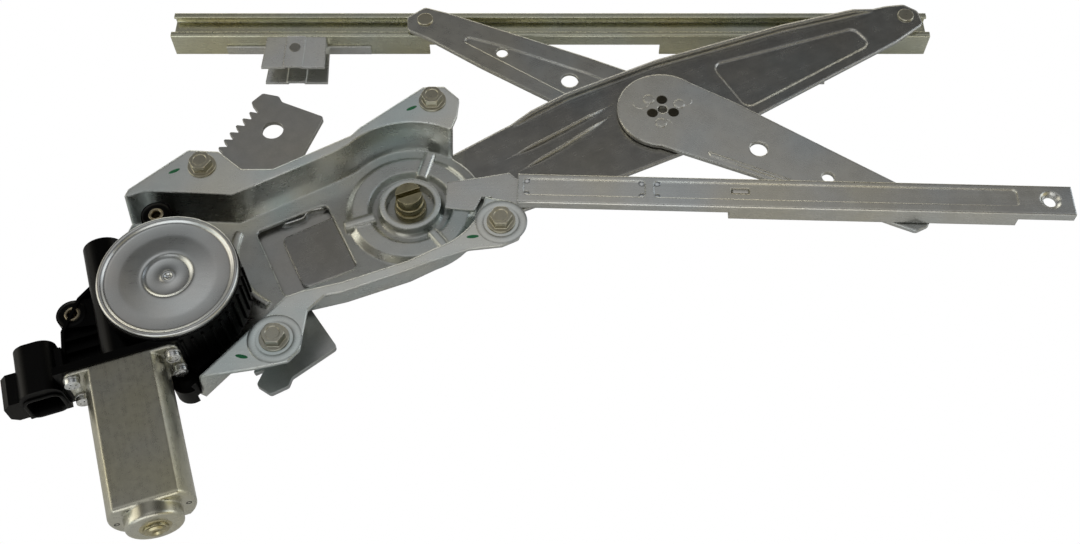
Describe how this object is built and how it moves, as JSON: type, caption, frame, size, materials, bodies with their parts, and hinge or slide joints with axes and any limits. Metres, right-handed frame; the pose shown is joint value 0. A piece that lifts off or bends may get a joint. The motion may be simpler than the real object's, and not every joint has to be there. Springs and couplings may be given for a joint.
{
  "type": "window regulator",
  "caption": "Cross-arm power window regulator: a geared motor swings a toothed main arm and its stay, raising a lift rail with two glass clamps.",
  "frame": {"origin": "under the middle of the bounding box, at the level of the rearmost face", "axes": "+X along the two rails, +Y from the motor end towards the lift rail, +Z out of the base plate towards the bolt heads"},
  "size_m": [0.5154, 0.33, 0.0672],
  "materials": {
    "zinc_plate": "bright zinc-plated pressed sheet",
    "zinc_gear": "zinc-plated blanked sheet",
    "zinc_rail": "zinc-plated rolled section",
    "yellow_zinc": "yellow-passivated zinc",
    "rivet_steel": "zinc-plated, peened",
    "machined_steel": "turned and ground",
    "can_steel": "deep-drawn, bright zinc",
    "cover_steel": "stamped, bright zinc",
    "black_plastic": "moulded, satin",
    "nylon": "natural nylon",
    "wheel_plastic": "natural acetal",
    "bronze": "sintered bronze",
    "tin_contact": "stamped contact",
    "laminate": "stacked laminations and windings",
    "copper": "segmented copper",
    "ferrite": "sintered ferrite",
    "card": "phenolic board",
    "carbon": "pressed carbon"
  },
  "bodies": {
    "base": {"base_plate": "zinc_plate", "ear_bolts": "yellow_zinc", "bolt_retainers": "rivet_steel", "main_pivot_pin": "machined_steel", "pivot_washer": "nylon", "guide_rail": "zinc_rail", "gear_housing": "black_plastic", "housing_inserts": "machined_steel", "housing_screws": "rivet_steel", "gear_cover": "cover_steel", "output_bush": "bronze", "motor_can": "can_steel", "motor_screws": "yellow_zinc", "motor_bearing": "bronze", "motor_magnets": "ferrite", "brush_holder": "card", "brushes": "carbon", "connector_socket": "black_plastic", "connector_pins": "tin_contact"},
    "drive_gear": {"worm_wheel": "wheel_plastic", "output_pinion": "machined_steel", "wheel_clip": "rivet_steel"},
    "armature": {"worm_shaft": "machined_steel", "armature_core": "laminate", "commutator": "copper"},
    "main_arm": {"main_arm": "zinc_plate", "sector_gear": "zinc_gear", "sector_rivets": "rivet_steel", "main_arm_stud": "machined_steel"},
    "stay_arm": {"stay_arm_lower": "zinc_plate", "stay_arm_upper": "zinc_plate", "stay_hub": "machined_steel", "stay_rivets": "rivet_steel", "stay_upper_stud": "machined_steel", "stay_lower_stud": "machined_steel"},
    "guide_slider": {"guide_slider": "nylon"},
    "lift_slider_left": {"lift_slider_left": "nylon"},
    "lift_slider_right": {"lift_slider_right": "nylon"},
    "lift_rail": {"lift_rail": "zinc_rail", "clamp_front_plates": "zinc_plate", "clamp_back_plates": "zinc_plate", "clamp_feet": "zinc_plate", "clamp_studs": "rivet_steel"}
  },
  "joints": [
    {"name": "main_arm_swing", "type": "hinge", "parent": "base", "child": "main_arm", "pos_m": [-0.07951, 0.018, 0.0257], "axis": [0, 0, 1], "range_deg": [-17, 22]},
    {"name": "stay_arm_swing", "type": "hinge", "parent": "main_arm", "child": "stay_arm", "pos_m": [0.0535, 0.08403, 0.0257], "axis": [0, 0, 1], "range_deg": [-47, 36]},
    {"name": "guide_slider_turn", "type": "hinge", "parent": "stay_arm", "child": "guide_slider", "pos_m": [0.17639, 0.018, 0.0257], "axis": [0, 0, 1], "range_deg": [-19, 25]},
    {"name": "lift_slider_left_turn", "type": "hinge", "parent": "stay_arm", "child": "lift_slider_left", "pos_m": [-0.07931, 0.1554, 0.0257], "axis": [0, 0, 1], "range_deg": [-20, 25]},
    {"name": "lift_slider_right_turn", "type": "hinge", "parent": "main_arm", "child": "lift_slider_right", "pos_m": [0.19727, 0.1554, 0.0257], "axis": [0, 0, 1], "range_deg": [-23, 18]},
    {"name": "lift_rail_slide", "type": "slide", "parent": "lift_slider_left", "child": "lift_rail", "axis": [1, 0, 0], "range_m": [-0.032, 0.025]},
    {"name": "drive_gear_spin", "type": "hinge", "parent": "base", "child": "drive_gear", "pos_m": [-0.18493, -0.04609, 0.0257], "axis": [0, 0, 1], "range_deg": [-262, 203]},
    {"name": "armature_spin", "type": "hinge", "parent": "base", "child": "armature", "pos_m": [-0.2121, -0.05534, 0.0497], "axis": [0.3223, -0.9466, 0], "range_deg": [-12075, 15620]}
  ],
  "couplings": [
    {"joint": "stay_arm_swing", "follows": "main_arm_swing", "ratio": -2.055},
    {"joint": "guide_slider_turn", "follows": "main_arm_swing", "ratio": 1.055},
    {"joint": "lift_slider_left_turn", "follows": "main_arm_swing", "ratio": 1.073},
    {"joint": "lift_slider_right_turn", "follows": "main_arm_swing", "ratio": -0.982},
    {"joint": "lift_rail_slide", "follows": "main_arm_swing", "m_per_rad": -0.08},
    {"joint": "drive_gear_spin", "follows": "main_arm_swing", "ratio": -11.818},
    {"joint": "armature_spin", "follows": "main_arm_swing", "ratio": 709.09}
  ]
}
